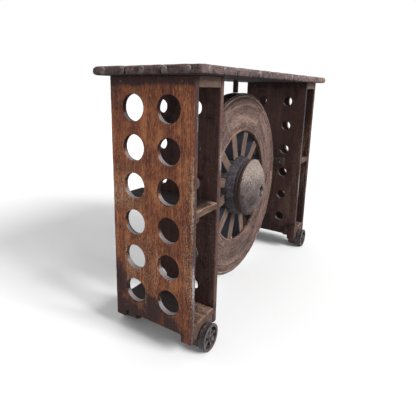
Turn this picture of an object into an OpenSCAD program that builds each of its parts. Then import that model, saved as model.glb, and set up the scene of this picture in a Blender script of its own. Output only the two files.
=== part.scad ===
/* [Table top] */
// Length of the table top
top_l = 1432; // [1390:1:1520]
// Depth of the table top
top_d = 452; // [430:1:500]
// Thickness of the table top
top_t = 32; // [28:1:45]
// Radius of the worn edge all round the top
top_edge_r = 12; // [8:1:13]
// Full height of the table, floor to top surface
table_h = 1040; // [1030:1:1080]
// Number of long boards in the top
top_boards = 3; // [3:1:3]

/* [Edge studs] */
// Radius of a domed stud head
stud_r = 12; // [8:0.5:13]
// Height of the dome
stud_dome = 5; // [3:0.5:6]
// Spacing of the studs along the long edges
stud_pitch_long = 95; // [70:1:100]
// Spacing of the studs along the short edges
stud_pitch_short = 88; // [60:1:95]

/* [Cabinets] */
// Distance from the middle of the table to a cabinet's outer face
cab_out = 676; // [660:1:680]
// Width of a cabinet over both panels
cab_w = 187; // [165:1:189]
// Depth of a cabinet, front to back
cab_d = 360; // [350:1:380]
// Thickness of a cabinet panel
panel_t = 23; // [18:1:25]
// How far the left inner panel stops short of the cabinet's back
inner_short = 12; // [0:1:20]
// Thickness of the board at the head of a cabinet
head_t = 36; // [24:1:36]
// Height of the middle shelf's top surface
mid_z = 565; // [562:1:568]
// Thickness of the middle shelf
mid_t = 27; // [20:1:27]
// Height of the bottom shelf's top surface
low_z = 131; // [125:1:138]
// Thickness of the bottom shelf
low_t = 24; // [18:1:26]
// Height of the panels' lower edge between the feet
panel_z = 92; // [85:1:95]
// Height of the feet above the floor
foot_z = 63; // [62:1:75]
// Depth of each foot, front to back
foot_d = 44; // [40:1:52]
// Radius in the corner between a foot and the lower edge
foot_r = 8; // [5:1:10]

/* [Bottle holes] */
// Radius of the holes in the outer panels, for the body of a bottle
hole_out_r = 47.5; // [42:0.5:50]
// Radius of the holes in the inner panels, for the neck
hole_in_r = 26; // [20:0.5:32]
// Number of rows
hole_rows = 6; // [6:1:6]
// Height between rows
hole_pitch = 140; // [136:1:141]
// Height of the lowest row
hole_z = 201; // [200:1:202]
// Distance of each column from the middle of the panel
hole_y = 77; // [70:1:80]

/* [Cart wheel] */
// Height of the cart wheel's centre
wheel_z = 495; // [480:1:500]
// Radius over the wooden rim
rim_r = 446; // [430:1:446]
// Radius of the opening inside the rim
rim_in_r = 274; // [260:1:290]
// Radius of the wider opening behind the rim's front flange
rim_back_r = 330; // [320:1:340]
// Thickness of the rim, front to back
rim_t = 70; // [60:1:80]
// Thickness of the iron tyre
tyre_t = 9; // [6:1:10]
// Width of the iron tyre
tyre_w = 60; // [50:1:64]
// Radius of the hub where the spokes enter
hub_r = 147; // [140:1:150]
// Distance that the hub stands out in front of the wheel's middle plane
hub_front = 93; // [85:1:100]
// Distance that the hub stands out behind the wheel's middle plane
hub_back = 80; // [60:1:85]
// Height of the front dome
dome_h = 55; // [40:1:60]
// Height of the rear dome
back_dome_h = 28; // [20:1:35]
// Number of spokes
spokes = 12; // [12:1:12]
// Width of a spoke
spoke_w = 46; // [42:1:50]
// Thickness of a spoke, front to back
spoke_t = 54; // [42:1:55]

/* [Floor wheels] */
// Radius of the small iron wheels
roll_r = 54; // [50:1:56]
// Width of the small iron wheels
roll_w = 29; // [24:1:30]
// Radius of the axles
axle_r = 6; // [5:0.5:8]
// Running clearance on the axles
axle_gap = 0.08; // [0.04:0.02:0.1]
// Spokes in a small wheel
roll_spokes = 5; // [4:1:6]
// Thickness of the axle beams, front to back
beam_t = 50; // [40:1:55]

/* [Hidden] */
$fn = 96;
// How far a cutting shape stands past the surface that it cuts
cut = 1;
under_z = table_h - top_t;
top_mid_z = table_h - top_t / 2;
cab_in = cab_out - cab_w;
shelf_l = cab_w - 2 * panel_t;
cab_mid = cab_out - cab_w / 2;
half_d = cab_d / 2;
// Open seam between two boards of the top
board_seam = 0.4;
// A stud sits in a seat as deep as the edge curves away behind it
seat_gap = 0.1;
stud_flat = top_t / 2 - top_edge_r;
seat_back = sqrt(pow(top_edge_r, 2) - pow(stud_r - stud_flat, 2));
seat_depth = top_edge_r - seat_back + seat_gap;
stud_sphere = (pow(stud_r, 2) + pow(stud_dome, 2)) / (2 * stud_dome);
stud_shank_r = 2.5;
stud_shank_l = 16;
stud_count_long = 15;
stud_count_short = 5;
// Nails through the panels into the shelves
nail_r = 2;
nail_l = 55;
nail_head_r = 4.5;
nail_head_t = 2;
nail_y = 130;
nail_heights = [under_z - head_t / 2, mid_z - mid_t / 2, low_z - low_t / 2];
// Rim profile: a bead at the opening, a groove, the flat, and a step up to the outer ring
outer_ring_w = 29;
rim_step_r = rim_r - outer_ring_w;
bead_rise = 1;
rim_soft = 3;
bead_w = 10;
groove_w = 4;
groove_deep = 4;
rim_chamfer = 4;
rim_pieces = 6;
tyre_r = rim_r + tyre_t;
tenon_w = 30;
tenon_t = 24;
tenon_rim = 40;
tenon_hub = 30;
tenon_root = 20;
wheel_depth = 400;
spoke_front = -20;
spoke_mid = spoke_front + spoke_t / 2;
spoke_step = 360 / spokes;
// Hub: a lip under the front dome, a neck behind it, a swell where the spokes enter, a narrower rear end
neck_fall = 11;
lip_rise = 4;
lip_t = 10;
lip_slope = 6;
hub_neck_r = hub_r - neck_fall;
hub_rim_r = hub_neck_r + lip_rise;
hub_swell = 8;
hub_taper = 10;
hub_rear_r = hub_r - hub_taper;
dome_sphere = (pow(hub_rim_r, 2) + pow(dome_h, 2)) / (2 * dome_h);
back_sphere = (pow(hub_rear_r, 2) + pow(back_dome_h, 2)) / (2 * back_dome_h);
pin_r = 13;
pin_deep = 16;
band_t = 8;
band_w = 22;
band_inset = 10;
// Brackets between the cart wheel and the inner panels
bracket_z0 = 528;
bracket_z1 = 570;
bracket_y0 = -85;
bracket_y1 = 50;
bracket_t = 8;
lug_t = 36;
lug_h = 30;
bolt_z = 542;
bolt_ys = [-55, 34];
bolt_r = 5;
bolt_head_r = 9;
bolt_head_h = 6;
bolt_sphere = 1.2 * bolt_head_r;
rim_bolt_r = 6;
rim_bolt_l = 66;
// Bar between the top of the cart wheel and the table top
hanger_w = 20;
hanger_y = 18;
// Floor wheels
beam_top = low_z - low_t;
beam_inset = 2;
beam_y = half_d - beam_inset - beam_t / 2;
beam_round = 48;
beam_lift = 3;
beam_z = foot_z + beam_lift;
roll_gap = 3;
roll_y0 = half_d + roll_gap;
nut_r = 11;
nut_t = 7;
nut_gap = 0.4;
axle_proud = 0.6;
axle_y0 = 80;
axle_y1 = roll_y0 + roll_w + nut_gap + nut_t + axle_proud;
roll_hub_r = 15;
roll_rim_t = 9;
roll_chamfer = 1.5;
roll_spoke_w = 11;
roll_spoke_t = 16;
roll_root = 3;
flange_rise = 3;
flange_w = 6;
tread_r = roll_r - flange_rise;
left = -1;
right = 1;
front = -1;
back = 1;

// A flat shape drawn in Y and Z, made solid along +X
module along_x(length) {
    rotate([90, 0, 90]) linear_extrude(length) children();
}

// A shape made about Z, laid over so that its axis is Y
module about_y() {
    rotate([-90, 0, 0]) children();
}

// The cart wheel's own place: its axis is Y at the wheel's centre
module at_wheel() {
    translate([0, 0, wheel_z]) about_y() children();
}

module rounded_bar(w, t, r) {
    square([w - 2 * r, t], center = true);
    square([w, t - 2 * r], center = true);
    for (i = [-1, 1], j = [-1, 1]) translate([i * (w / 2 - r), j * (t / 2 - r)]) circle(r);
}

// Places a child, made looking out along +Z, on every stud position
module each_stud() {
    for (side = [front, back], k = [0:stud_count_long - 1])
        translate([(k - (stud_count_long - 1) / 2) * stud_pitch_long, side * top_d / 2, top_mid_z])
            rotate([side * -90, 0, 0]) children();
    for (side = [left, right], k = [0:stud_count_short - 1])
        translate([side * top_l / 2, (k - (stud_count_short - 1) / 2) * stud_pitch_short, top_mid_z])
            rotate([0, side * 90, 0]) children();
}

module top_slab() {
    intersection() {
        translate([-top_l / 2, 0, top_mid_z]) along_x(top_l) rounded_bar(top_d, top_t, top_edge_r);
        translate([0, top_d / 2, top_mid_z])
            rotate([90, 0, 0]) linear_extrude(top_d) rounded_bar(top_l, top_t, top_edge_r);
    }
}

module top_board(k) {
    pitch = top_d / top_boards;
    y0 = -top_d / 2 + k * pitch + (k > 0 ? board_seam / 2 : -cut);
    y1 = -top_d / 2 + (k + 1) * pitch + (k < top_boards - 1 ? -board_seam / 2 : cut);
    color("#50443f") difference() {
        intersection() {
            top_slab();
            translate([-top_l, y0, under_z - cut]) cube([2 * top_l, y1 - y0, top_t + 2 * cut]);
        }
        each_stud() {
            translate([0, 0, -seat_depth]) cylinder(h = 2 * seat_depth, r = stud_r + seat_gap);
            translate([0, 0, -stud_shank_l - seat_gap]) cylinder(h = stud_shank_l, r = stud_shank_r);
        }
    }
}

module stud() {
    translate([0, 0, -seat_depth]) {
        intersection() {
            translate([0, 0, stud_dome - stud_sphere]) sphere(stud_sphere);
            cylinder(h = stud_dome + cut, r = stud_r);
        }
        translate([0, 0, seat_depth - stud_shank_l])
            cylinder(h = stud_shank_l - seat_depth, r = stud_shank_r);
    }
}

module edge_studs() {
    color("#6d6660") each_stud() stud();
}

// One foot-to-foot panel outline with its two columns of holes; its back edge stops short by this much
module panel_outline(hole_r, short) {
    gap0 = foot_d - half_d;
    gap1 = half_d - short - foot_d;
    rise = panel_z - foot_z;
    difference() {
        translate([-half_d, foot_z]) square([cab_d - short, under_z - foot_z]);
        translate([gap0, foot_z - cut]) square([gap1 - gap0, rise - foot_r + cut]);
        translate([gap0 + foot_r, foot_z]) square([gap1 - gap0 - 2 * foot_r, rise]);
        for (y = [gap0 + foot_r, gap1 - foot_r]) translate([y, panel_z - foot_r]) circle(foot_r);
        for (s = [-1, 1], k = [0:hole_rows - 1])
            translate([s * hole_y, hole_z + k * hole_pitch]) circle(hole_r);
    }
}

// The nails of the panel face at x, pointing along X the way dir says; they cut their own holes
module face_nails(x, dir) {
    for (s = [front, back], z = nail_heights)
        translate([x, s * nail_y, z]) rotate([0, dir * 90, 0]) {
            cylinder(h = nail_l, r = nail_r);
            cylinder(h = nail_head_t, r = nail_head_r);
        }
}

// All the nails of one cabinet
module side_nails(side) {
    face_nails(side * cab_out, -side);
    face_nails(side * cab_in, side);
}

module cabinet_nails() {
    color("#3b3634") for (side = [left, right]) side_nails(side);
}

// Shanks of the bolts that hold a bracket to its panel; they cut their own holes
module bracket_shanks(side) {
    for (y = bolt_ys) translate([side * (cab_in - bracket_t), y, bolt_z])
        rotate([0, side * 90, 0]) cylinder(h = bracket_t + panel_t, r = bolt_r);
}

module outer_panel(side) {
    color("#6e4630") difference() {
        translate([side * cab_out - (side > 0 ? panel_t : 0), 0, 0])
            along_x(panel_t) panel_outline(hole_out_r, 0);
        face_nails(side * cab_out, -side);
    }
}

module inner_panel(side) {
    color("#4a342c") difference() {
        translate([side * cab_in - (side > 0 ? 0 : panel_t), 0, 0])
            along_x(panel_t) panel_outline(hole_in_r, side < 0 ? inner_short : 0);
        face_nails(side * cab_in, side);
        bracket_shanks(side);
    }
}

// A board between a cabinet's two panels
module shelf(side, z_top, t) {
    difference() {
        translate([side * cab_mid - shelf_l / 2, -half_d, z_top - t]) cube([shelf_l, cab_d, t]);
        side_nails(side);
    }
}

module head_board(side) {
    color("#7d6a58") shelf(side, under_z, head_t);
}

module middle_shelf(side) {
    color("#8c7466") shelf(side, mid_z, mid_t);
}

module bottom_shelf(side) {
    color("#a08874") shelf(side, low_z, low_t);
}

// A cross beam under a cabinet, with a rounded cheek that hangs down round the axle
module axle_beam(side, end) {
    color("#3f312b") translate([side * cab_mid, end * beam_y, 0]) rotate([90, 0, 0])
        linear_extrude(beam_t, center = true) beam_outline();
}

module beam_outline() {
    difference() {
        union() {
            translate([-shelf_l / 2, beam_z]) square([shelf_l, beam_top - beam_z]);
            translate([0, roll_r]) circle(beam_round);
            translate([-beam_round, roll_r]) square([2 * beam_round, beam_top - roll_r]);
        }
        translate([0, roll_r]) circle(axle_r);
    }
}

// Places a child, made about +Z from the table's middle plane outwards, at an axle
module at_axle(side, end) {
    translate([side * cab_mid, 0, roll_r]) rotate([end * -90, 0, 0]) children();
}

module axle(side, end) {
    color("#4b4a4c") at_axle(side, end) translate([0, 0, axle_y0])
        cylinder(h = axle_y1 - axle_y0, r = axle_r);
}

module roller(side, end) {
    color("#3c4046") at_axle(side, end) translate([0, 0, roll_y0]) difference() {
        union() {
            rotate_extrude() polygon([
                [tread_r - roll_rim_t, 0], [tread_r, 0], [tread_r, roll_w - flange_w],
                [roll_r, roll_w - flange_w], [roll_r, roll_w - roll_chamfer],
                [roll_r - roll_chamfer, roll_w], [tread_r - roll_rim_t, roll_w]
            ]);
            cylinder(h = roll_w, r = roll_hub_r);
            for (k = [0:roll_spokes - 1]) rotate(k * 360 / roll_spokes)
                translate([roll_hub_r - roll_root, -roll_spoke_w / 2, (roll_w - roll_spoke_t) / 2])
                    cube([tread_r - roll_rim_t - roll_hub_r + 2 * roll_root, roll_spoke_w, roll_spoke_t]);
        }
        translate([0, 0, -cut]) cylinder(h = roll_w + 2 * cut, r = axle_r + axle_gap);
    }
}

module axle_nuts() {
    color("#6b5a4c") for (side = [left, right], end = [front, back])
        at_axle(side, end) translate([0, 0, roll_y0 + roll_w + nut_gap]) difference() {
            cylinder(h = nut_t, r = nut_r, $fn = 6);
            translate([0, 0, -cut]) cylinder(h = nut_t + 2 * cut, r = axle_r);
        }
}

// Rim section: radius against depth, front face first. Behind the front flange the opening is wider
module rim_section() {
    f = -rim_t / 2;
    b = rim_t / 2;
    polygon([
        [rim_in_r, f + rim_soft], [rim_in_r + rim_soft, f - bead_rise],
        [rim_in_r + bead_w, f - bead_rise], [rim_in_r + bead_w + groove_w / 2, f + groove_deep],
        [rim_in_r + bead_w + 1.5 * groove_w, f],
        [rim_step_r - groove_w, f], [rim_step_r - groove_w / 2, f + groove_deep],
        [rim_step_r, f + groove_deep], [rim_step_r, f],
        [rim_r - rim_chamfer, f], [rim_r, f + rim_chamfer],
        [rim_r, b - rim_chamfer], [rim_r - rim_chamfer, b],
        [rim_back_r + rim_soft, b], [rim_back_r, b - rim_soft],
        [rim_back_r, spoke_front], [rim_in_r, spoke_front]
    ]);
}

module tenon(r0, r1) {
    translate([r0, -tenon_w / 2, spoke_mid - tenon_t / 2]) cube([r1 - r0, tenon_w, tenon_t]);
}

// Bolt that ties the rim to a bracket's lug; it cuts its own hole
module rim_bolt(side) {
    translate([side * (cab_in - bracket_t - rim_bolt_l), 0, (bracket_z0 + bracket_z1) / 2])
        rotate([0, side * 90, 0]) cylinder(h = rim_bolt_l, r = rim_bolt_r);
}

module both_rim_bolts() {
    for (side = [left, right]) rim_bolt(side);
}

module felloe(k) {
    span = 360 / rim_pieces;
    color("#8a7469") difference() {
        at_wheel() difference() {
            rotate((k - 1) * span) rotate_extrude(angle = span) rim_section();
            for (i = [0:1]) rotate((k - 1) * span + (i + 0.5) * spoke_step)
                tenon(rim_back_r - tenon_root, rim_back_r + tenon_rim);
        }
        both_rim_bolts();
    }
}

module spoke(k) {
    color("#866e62") at_wheel() rotate((k - 0.5) * spoke_step) {
        intersection() {
            difference() {
                translate([hub_r - tenon_root, -spoke_w / 2, spoke_front])
                    cube([rim_back_r - hub_r + 2 * tenon_root, spoke_w, spoke_t]);
                cylinder(h = wheel_depth, r = hub_r, center = true);
            }
            cylinder(h = wheel_depth, r = rim_back_r, center = true);
        }
        tenon(hub_r - tenon_hub, hub_r + tenon_root);
        tenon(rim_back_r - tenon_root, rim_back_r + tenon_rim);
    }
}

module iron_tyre() {
    color("#37363a") difference() {
        at_wheel() difference() {
            cylinder(h = tyre_w, r = tyre_r, center = true);
            cylinder(h = tyre_w + 2 * cut, r = rim_r, center = true);
        }
        both_rim_bolts();
    }
}

// The turned middle of the cart wheel, with its rear dome
module hub_barrel() {
    color("#45454e") at_wheel() difference() {
        union() {
            rotate_extrude() polygon([
                [0, -hub_front], [hub_rim_r, -hub_front], [hub_rim_r, -hub_front + lip_t],
                [hub_neck_r, -hub_front + lip_t + lip_slope],
                [hub_r, spoke_front - hub_swell], [hub_r, hub_back - band_inset],
                [hub_rear_r, hub_back], [0, hub_back]
            ]);
            intersection() {
                translate([0, 0, hub_back + back_dome_h - back_sphere]) sphere(back_sphere);
                translate([0, 0, hub_back]) cylinder(h = back_dome_h + cut, r = hub_rim_r);
            }
        }
        for (k = [1:spokes]) rotate((k - 0.5) * spoke_step)
            tenon(hub_r - tenon_hub, hub_r + tenon_root);
        band_ring(hub_r + cut);
    }
}

// A ring as wide as the hub's iron band, from the band's inner radius out to r
module band_ring(r) {
    translate([0, 0, hub_back - band_inset - band_w]) difference() {
        cylinder(h = band_w, r = r);
        translate([0, 0, -cut]) cylinder(h = band_w + 2 * cut, r = hub_r - band_t);
    }
}

// Iron band shrunk on behind the spokes
module hub_band() {
    color("#3a393c") at_wheel() band_ring(hub_r);
}

module hub_front_cap() {
    color("#a4968c") at_wheel() difference() {
        intersection() {
            translate([0, 0, -hub_front - dome_h + dome_sphere]) sphere(dome_sphere);
            translate([0, 0, -hub_front - dome_h - cut]) cylinder(h = dome_h + cut, r = hub_rim_r);
        }
        translate([0, 0, -hub_front - dome_h - cut]) cylinder(h = pin_deep + cut, r = pin_r);
    }
}

// Iron plate on an inner panel, with a lug that reaches the tyre
module wheel_bracket(side) {
    x_face = cab_in - bracket_t;
    plate_h = bracket_z1 - bracket_z0;
    lug_z = (bracket_z0 + bracket_z1 - lug_h) / 2;
    color("#2f2e33") difference() {
        union() {
            translate([side * (x_face + bracket_t / 2) - bracket_t / 2, bracket_y0, bracket_z0])
                cube([bracket_t, bracket_y1 - bracket_y0, plate_h]);
            difference() {
                translate([side > 0 ? rim_r : -x_face - cut, -lug_t / 2, lug_z])
                    cube([x_face - rim_r + cut, lug_t, lug_h]);
                at_wheel() cylinder(h = lug_t + 2 * cut, r = tyre_r, center = true);
            }
        }
        bracket_shanks(side);
        rim_bolt(side);
    }
}

module bracket_bolts() {
    color("#57534f") for (side = [left, right]) {
        bracket_shanks(side);
        for (y = bolt_ys) translate([side * (cab_in - bracket_t), y, bolt_z])
            rotate([0, side * -90, 0]) intersection() {
                translate([0, 0, bolt_head_h - bolt_sphere]) sphere(bolt_sphere);
                cylinder(h = bolt_head_h + cut, r = bolt_head_r);
            }
        rim_bolt(side);
    }
}

// Bar that ties the top of the tyre to the table top
module wheel_hanger() {
    color("#4a2f2a") difference() {
        translate([-hanger_w / 2, hanger_y - hanger_w / 2, wheel_z + tyre_r - cut])
            cube([hanger_w, hanger_w, under_z - wheel_z - tyre_r + cut]);
        at_wheel() cylinder(h = tyre_w + 2 * cut, r = tyre_r, center = true);
    }
}

top_board(0);  // top_board_front
top_board(1);  // top_board_middle
top_board(2);  // top_board_back
edge_studs();
outer_panel(left);  // left_outer_panel
inner_panel(left);  // left_inner_panel
inner_panel(right);  // right_inner_panel
outer_panel(right);  // right_outer_panel
head_board(left);  // left_head_board
head_board(right);  // right_head_board
middle_shelf(left);  // left_middle_shelf
middle_shelf(right);  // right_middle_shelf
bottom_shelf(left);  // left_bottom_shelf
bottom_shelf(right);  // right_bottom_shelf
cabinet_nails();
axle_beam(left, front);  // left_front_beam
axle_beam(left, back);  // left_rear_beam
axle_beam(right, front);  // right_front_beam
axle_beam(right, back);  // right_rear_beam
axle(left, front);  // left_front_axle
axle(left, back);  // left_rear_axle
axle(right, front);  // right_front_axle
axle(right, back);  // right_rear_axle
roller(left, front);  // left_front_roller
roller(left, back);  // left_rear_roller
roller(right, front);  // right_front_roller
roller(right, back);  // right_rear_roller
axle_nuts();
for (k = [1:rim_pieces]) felloe(k);
for (k = [1:spokes]) spoke(k);
iron_tyre();
hub_barrel();
hub_band();
hub_front_cap();
wheel_bracket(left);  // left_wheel_bracket
wheel_bracket(right);  // right_wheel_bracket
bracket_bolts();
wheel_hanger();
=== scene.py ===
"""Looks of the rustic bar table: worn, grained wood and pitted iron built round the CAD frame."""

import math
from itertools import product

import bmesh
import bpy
import numpy as np
from mathutils import Matrix, Vector


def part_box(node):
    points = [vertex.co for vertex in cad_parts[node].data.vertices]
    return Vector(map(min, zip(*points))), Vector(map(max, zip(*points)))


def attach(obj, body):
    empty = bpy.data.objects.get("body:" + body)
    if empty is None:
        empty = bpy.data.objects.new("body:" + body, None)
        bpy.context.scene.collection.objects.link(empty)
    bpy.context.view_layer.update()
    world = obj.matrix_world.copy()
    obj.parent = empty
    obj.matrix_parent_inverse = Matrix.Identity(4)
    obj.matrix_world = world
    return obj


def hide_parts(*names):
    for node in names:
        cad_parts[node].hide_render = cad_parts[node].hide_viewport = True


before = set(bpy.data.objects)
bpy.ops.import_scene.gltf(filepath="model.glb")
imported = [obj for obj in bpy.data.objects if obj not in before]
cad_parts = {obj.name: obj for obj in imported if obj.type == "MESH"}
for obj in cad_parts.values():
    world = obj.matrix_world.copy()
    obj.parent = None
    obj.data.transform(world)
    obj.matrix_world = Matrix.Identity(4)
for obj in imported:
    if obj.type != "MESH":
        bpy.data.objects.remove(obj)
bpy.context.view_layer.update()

MM = 0.001
WELD = 0.01 * MM
SIDES = ("left", "right")
ENDS = ("front", "rear")
X, Y, Z = 0, 1, 2


# ---------------------------------------------------------------- noise for shapes

def lattice(cell, seed):
    """A fixed random number from -1 to 1 for each row of whole numbers."""
    x, y, z = (cell[:, i].astype(np.int64) & 0xFFFFFFFF for i in (X, Y, Z))
    mixed = (x * 73856093) ^ (y * 19349663) ^ (z * 83492791) ^ (seed * 97531)
    mixed = ((mixed ^ (mixed >> 13)) * 1274126177) & 0xFFFFFFFF
    mixed = ((mixed ^ (mixed >> 16)) * 668265263) & 0xFFFFFFFF
    return (mixed ^ (mixed >> 15)) / 2**31 - 1


def noise(points, seed, octaves=1):
    """Smooth noise at each point, about -1 to 1, with a lattice one unit wide."""
    total = np.zeros(len(points))
    for octave in range(octaves):
        p = points * 2**octave
        cell = np.floor(p)
        t = p - cell
        t = t * t * (3 - 2 * t)
        for corner in np.ndindex(2, 2, 2):
            weight = np.prod(np.where(corner, t, 1 - t), axis=1)
            total += weight * lattice(cell + corner, seed + octave) / 2**octave
    return total


def ramp(values, low, high):
    """0 below low, 1 above high, smooth between."""
    t = np.clip((values - low) / (high - low), 0, 1)
    return t * t * (3 - 2 * t)


# ---------------------------------------------------------------- meshes

def corners(points):
    """Lowest and highest corners of the box round these points."""
    return tuple(Vector(tuple(pick(p[i] for p in points) for i in (X, Y, Z))) for pick in (min, max))


def coordinates(mesh):
    """One row of x, y and z for each vertex."""
    co = np.empty(len(mesh.vertices) * 3)
    mesh.vertices.foreach_get("co", co)
    return co.reshape(-1, 3)


def cad_points(node):
    """The same for a CAD node's own mesh."""
    return coordinates(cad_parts[node].data)


def normals(mesh):
    """The way out of the surface at each vertex."""
    n = np.empty(len(mesh.vertices) * 3)
    mesh.vertices.foreach_get("normal", n)
    return n.reshape(-1, 3)


def place(mesh, co):
    """Moves the vertices to these coordinates."""
    mesh.vertices.foreach_set("co", co.ravel())
    mesh.update()


def carve(mesh, depth):
    """Sinks the surface by depth, in metres: one number for all, or one for each vertex."""
    place(mesh, coordinates(mesh) - normals(mesh) * np.reshape(depth, (-1, 1)))


def paint(mesh, **layers):
    """Stores layers for the materials: one vector, or one number kept from 0 to 1, for each vertex."""
    for name, values in layers.items():
        if values.ndim == 2:
            layer = mesh.attributes.new(name, "FLOAT_VECTOR", "POINT")
            layer.data.foreach_set("vector", values.astype(np.float32).ravel())
        else:
            layer = mesh.attributes.new(name, "FLOAT", "POINT")
            layer.data.foreach_set("value", np.clip(values, 0, 1).astype(np.float32))


def solid_copy(node):
    """A welded mesh of a CAD node's own shape."""
    bm = bmesh.new()
    bm.from_mesh(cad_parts[node].data)
    bmesh.ops.remove_doubles(bm, verts=bm.verts, dist=WELD)
    mesh = bpy.data.meshes.new(node)
    bm.to_mesh(mesh)
    bm.free()
    return mesh


def skin(node, cell):
    """An even skin of quads, cell wide, over a CAD node's own shape, ready to be worn and dented."""
    mesh = solid_copy(node)
    work = bpy.data.objects.new("work", mesh)
    bpy.context.scene.collection.objects.link(work)
    modifier = work.modifiers.new("skin", "REMESH")
    modifier.mode = "VOXEL"
    modifier.voxel_size = cell
    modifier.adaptivity = 0
    graph = bpy.context.evaluated_depsgraph_get()
    even = bpy.data.meshes.new_from_object(work.evaluated_get(graph))
    bpy.data.objects.remove(work)
    bpy.data.meshes.remove(mesh)
    return even


def relaxed(mesh, co, steps):
    """Where each vertex would be if the skin were smoothed: corners sink, flats stay."""
    edges = np.empty(len(mesh.edges) * 2, dtype=np.int64)
    mesh.edges.foreach_get("vertices", edges)
    a, b = edges.reshape(-1, 2).T
    count = np.bincount(np.concatenate((a, b)), minlength=len(co))[:, None].clip(1)
    smooth = co.copy()
    for _ in range(steps):
        total = np.stack([
            np.bincount(a, smooth[b, i], len(co)) + np.bincount(b, smooth[a, i], len(co)) for i in (X, Y, Z)
        ], axis=1)
        smooth = (smooth + total / count) / 2
    return smooth


CHIPS_PER_METRE = 70
DENTS_PER_METRE = 22


def weather(mesh, seed, steps, chips, dents, keep=0.35, reach=1.2, spread=28):
    """Rounds and chips the edges unevenly and dents the faces, always inwards.
    steps says how far the rounding reaches, and keep how much of a corner it leaves. chips and dents are
    depths in mm, reach is the sinking, in mm, of a fully worn edge, and spread is worn patches per metre.
    Gives the wear at each vertex."""
    co = coordinates(mesh)
    sink = -np.einsum("ij,ij->i", relaxed(mesh, co, steps) - co, normals(mesh))
    edge = np.clip(sink / (reach * MM), 0, 1)
    patchy = noise(co * spread, seed, 2)
    rounded = sink.clip(0) * np.clip(1 - keep + 0.6 * patchy, 0, 1.6)
    chipped = chips * MM * edge * ramp(noise(co * CHIPS_PER_METRE, seed + 5, 2), 0.15, 0.8)
    dented = dents * MM * ramp(noise(co * DENTS_PER_METRE, seed + 9, 2), 0.1, 1.0)
    carve(mesh, rounded + chipped + dented)
    return edge * np.clip(0.75 + 0.6 * patchy, 0.15, 1)


def shade_smooth(mesh):
    mesh.polygons.foreach_set("use_smooth", np.ones(len(mesh.polygons), dtype=bool))
    mesh.update()


def piece(node, finish, mesh, material, body="frame"):
    """Makes the object, gives it its material and tells the frame which CAD node it stands for."""
    obj = bpy.data.objects.new(f"{node}_{finish}", mesh)
    bpy.context.scene.collection.objects.link(obj)
    mesh.materials.clear()
    mesh.materials.append(material)
    shade_smooth(mesh)
    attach(obj, body)
    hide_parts(node)


def resampled(points, spacing):
    """The closed outline with no gap between points wider than spacing."""
    out = []
    for (x0, y0), (x1, y1) in zip(points, points[1:] + points[:1]):
        parts = max(1, math.ceil(math.hypot(x1 - x0, y1 - y0) / spacing))
        out += [(x0 + (x1 - x0) * k / parts, y0 + (y1 - y0) * k / parts) for k in range(parts)]
    return out


def turned(profile, centre, steps, start=0.0, span=2 * math.pi):
    """Turns a closed outline of (radius, y) about the Y axis through centre, all round or through span."""
    whole = math.isclose(span, 2 * math.pi)
    angles = start + np.linspace(0, span, steps + 1)[: steps if whole else None]
    r, y = np.array(profile).T
    co = np.stack([
        centre.x + np.outer(np.cos(angles), r),
        centre.y + np.broadcast_to(y, (len(angles), len(y))),
        centre.z + np.outer(np.sin(angles), r),
    ], axis=2).reshape(-1, 3)
    n = len(profile)
    faces = []
    for i in range(len(angles) if whole else len(angles) - 1):
        j = (i + 1) % len(angles)
        faces += [(i * n + k, i * n + (k + 1) % n, j * n + (k + 1) % n, j * n + k) for k in range(n)]
    if not whole:
        last = (len(angles) - 1) * n
        faces += [tuple(range(n)), tuple(last + k for k in reversed(range(n)))]
    mesh = bpy.data.meshes.new("turned")
    mesh.from_pydata(co.tolist(), [], faces)
    bm = bmesh.new()
    bm.from_mesh(mesh)
    bmesh.ops.remove_doubles(bm, verts=bm.verts, dist=WELD)
    bmesh.ops.recalc_face_normals(bm, faces=bm.faces)
    bm.to_mesh(mesh)
    bm.free()
    return mesh


def joined(meshes):
    """One mesh that holds all of these, which are removed."""
    bm = bmesh.new()
    for mesh in meshes:
        bm.from_mesh(mesh)
        bpy.data.meshes.remove(mesh)
    mesh = bpy.data.meshes.new("joined")
    bm.to_mesh(mesh)
    bm.free()
    return mesh


# ---------------------------------------------------------------- places about the cart wheel's axis

def around(co, centre):
    """Distance from the Y axis through centre, and angle round it, of each point."""
    x = co[:, X] - centre.x
    z = co[:, Z] - centre.z
    return np.hypot(x, z), np.arctan2(z, x)


def angle_from(angles, middle):
    """How far round each angle is from middle, from -pi to pi."""
    return (angles - middle + math.pi) % (2 * math.pi) - math.pi


def angle_of(node, centre):
    """Angle of the middle of a CAD node's points."""
    co = cad_points(node).mean(axis=0)
    return math.atan2(co[Z] - centre.z, co[X] - centre.x)


def radii(node, centre):
    """Smallest and largest distance of a CAD node's own points from the axis."""
    r, _ = around(cad_points(node), centre)
    return r.min(), r.max()


def depths(node, centre):
    """Front and back of a CAD node along the axis, measured from centre."""
    return tuple(corner.y - centre.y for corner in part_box(node))


# ---------------------------------------------------------------- grain coordinates

def own_place(seed):
    """Sets each board at its own place in the endless pattern of the grain."""
    return np.array([seed * 1.37, seed * 0.61, 0.12 + seed * 0.083])


def grain_along(co, axis, seed):
    """Metres along, across and through a board whose grain runs along one axis."""
    others = [i for i in (X, Y, Z) if i != axis]
    return co[:, [axis, *others]] + own_place(seed)


def grain_at_angle(co, centre, angle, seed):
    """The same for a board in the wheel, whose grain runs at this angle in the plane of X and Z."""
    x = co[:, X] - centre.x
    z = co[:, Z] - centre.z
    along = x * math.cos(angle) + z * math.sin(angle)
    across = z * math.cos(angle) - x * math.sin(angle)
    return np.stack([along, across, co[:, Y]], axis=1) + own_place(seed)


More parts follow.
